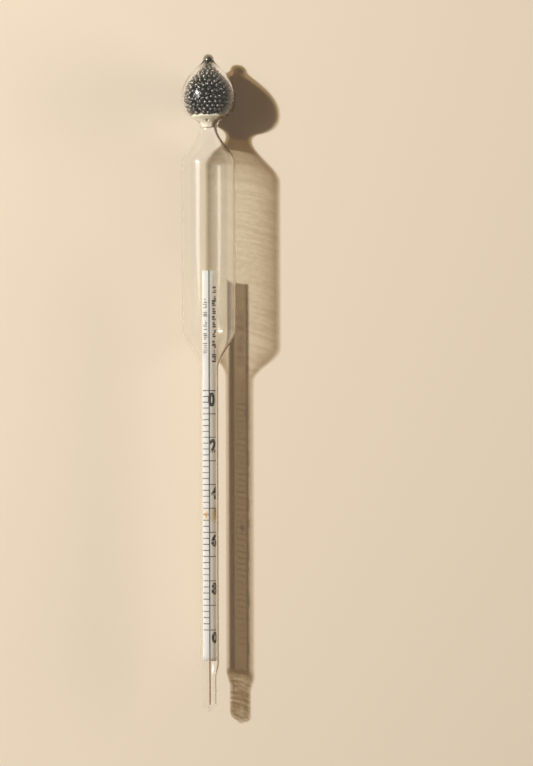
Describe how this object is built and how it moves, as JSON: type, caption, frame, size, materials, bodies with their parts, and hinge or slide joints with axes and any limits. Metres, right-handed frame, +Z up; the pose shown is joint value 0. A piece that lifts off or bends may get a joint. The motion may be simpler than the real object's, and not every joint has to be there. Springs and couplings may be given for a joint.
{
  "type": "glass hydrometer",
  "caption": "Sealed glass hydrometer lying on its side: slim stem with a rolled paper scale, wide float body and a round bulb filled with lead shot.",
  "frame": {"origin": "on the surface the glass lies on, under the middle of its length", "axes": "+Y along the glass, from the sealed tip of the stem to the ballast bulb; +Z up; +X to the right seen from above with the bulb at the top"},
  "size_m": [0.0216, 0.263, 0.0216],
  "materials": {
    "clear_glass": "gloss",
    "lead": "satin",
    "cotton_wad": "matte",
    "scale_paper": "matte",
    "browned_wire": "satin",
    "amber_glue": "gloss"
  },
  "bodies": {
    "root": {"stem_tube": "clear_glass", "float_body": "clear_glass", "ballast_bulb": "clear_glass", "ballast_shot": "lead", "shot_plug": "cotton_wad", "paper_scale": "scale_paper", "stay_wire": "browned_wire", "glue_dabs": "amber_glue"}
  },
  "joints": []
}
